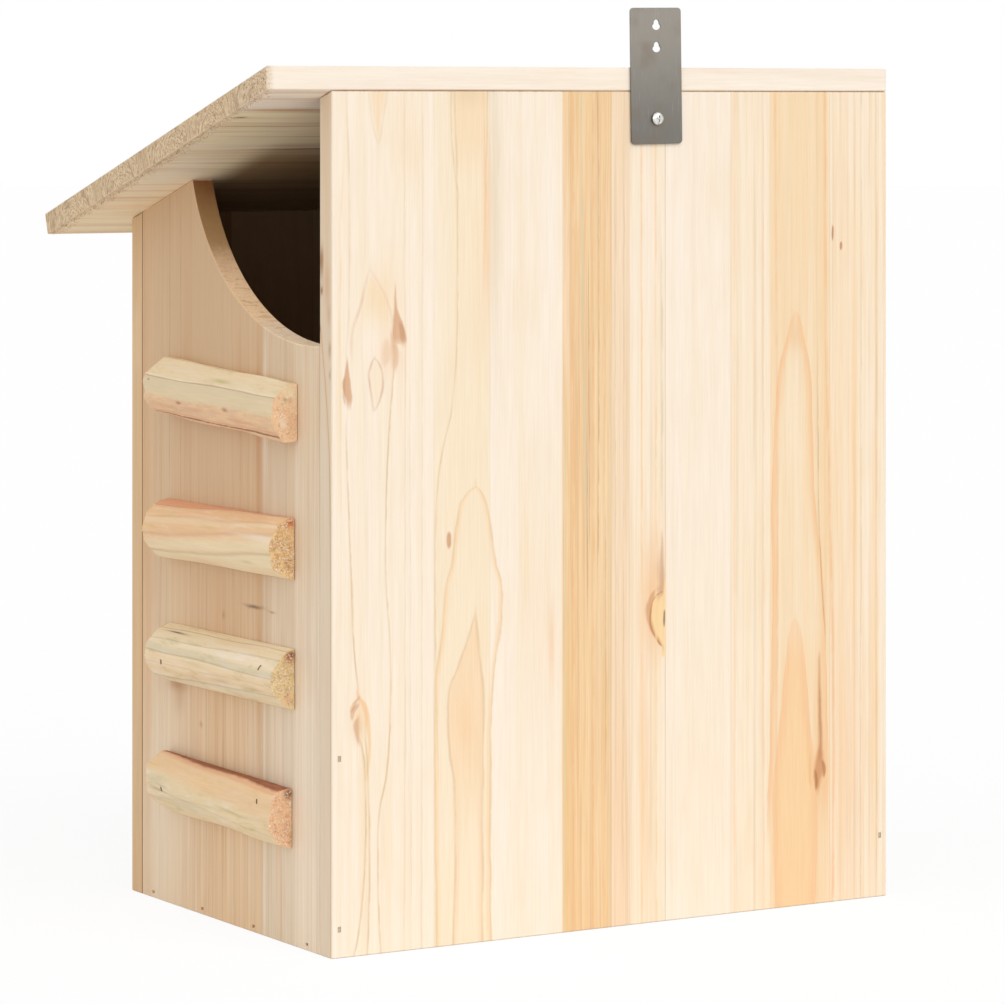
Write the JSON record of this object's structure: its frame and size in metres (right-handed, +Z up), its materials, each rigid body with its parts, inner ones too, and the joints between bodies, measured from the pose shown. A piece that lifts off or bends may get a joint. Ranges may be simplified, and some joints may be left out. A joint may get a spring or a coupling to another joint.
{
  "type": "bat box",
  "caption": "Wooden roost and nest box with a sloped roof, a quarter-round side entrance, a ladder of split half-round rungs and a steel hanger plate that turns on its screw.",
  "frame": {"origin": "on the ground under the middle of the floor panel, midway between the side faces and between the front and back faces of the body", "axes": "+X along the back panel towards the entrance side with the rungs, +Y from the front panel to the back panel with the hanger plate, +Z up"},
  "size_m": [0.3278, 0.2268, 0.4142],
  "materials": {
    "back_board": "unfinished planed softwood, matt",
    "front_board": "unfinished planed softwood, matt",
    "entrance_side_board": "unfinished planed softwood, matt",
    "plain_side_board": "unfinished planed softwood, matt",
    "floor_board": "unfinished planed softwood, matt",
    "roof_board": "unfinished planed softwood, matt",
    "rung_1_wood": "split softwood with some bark left, matt",
    "rung_2_wood": "split softwood with some bark left, matt",
    "rung_3_wood": "split softwood with some bark left, matt",
    "rung_4_wood": "split softwood with some bark left, matt",
    "plate_zinc": "zinc-plated sheet, satin",
    "screw_steel": "bright zinc-plated, semi-gloss",
    "brad_steel": "galvanised wire, satin"
  },
  "bodies": {
    "box": {"back_nail_entrance_side_1": "brad_steel", "back_nail_entrance_side_2": "brad_steel", "back_nail_plain_side_1": "brad_steel", "back_panel": "back_board", "entrance_side_panel": "entrance_side_board", "floor_nail_entrance_side_1": "brad_steel", "floor_nail_entrance_side_2": "brad_steel", "floor_nail_entrance_side_3": "brad_steel", "floor_nail_entrance_side_4": "brad_steel", "floor_nail_plain_side_1": "brad_steel", "floor_nail_plain_side_2": "brad_steel", "floor_nail_plain_side_3": "brad_steel", "floor_nail_plain_side_4": "brad_steel", "floor_panel": "floor_board", "front_nail_entrance_side_1": "brad_steel", "front_nail_entrance_side_2": "brad_steel", "front_nail_entrance_side_3": "brad_steel", "front_nail_plain_side_1": "brad_steel", "front_nail_plain_side_2": "brad_steel", "front_nail_plain_side_3": "brad_steel", "front_panel": "front_board", "hanger_screw": "screw_steel", "plain_side_panel": "plain_side_board", "roof_nail_back_1": "brad_steel", "roof_nail_back_2": "brad_steel", "roof_nail_back_3": "brad_steel", "roof_nail_entrance_side": "brad_steel", "roof_nail_front_1": "brad_steel", "roof_nail_front_2": "brad_steel", "roof_nail_front_3": "brad_steel", "roof_nail_plain_side": "brad_steel", "roof_panel": "roof_board", "rung_1": "rung_1_wood", "rung_1_nail_front": "brad_steel", "rung_1_nail_rear": "brad_steel", "rung_2": "rung_2_wood", "rung_2_nail_front": "brad_steel", "rung_2_nail_rear": "brad_steel", "rung_3": "rung_3_wood", "rung_3_nail_front": "brad_steel", "rung_3_nail_rear": "brad_steel", "rung_4": "rung_4_wood", "rung_4_nail_front": "brad_steel", "rung_4_nail_rear": "brad_steel"},
    "hanger": {"hanger_plate": "plate_zinc"}
  },
  "joints": [
    {"name": "hanger_swivel", "type": "hinge", "parent": "box", "child": "hanger", "pos_m": [-0.0192, 0.0975, 0.3638], "axis": [0, 1, 0], "continuous": true}
  ]
}
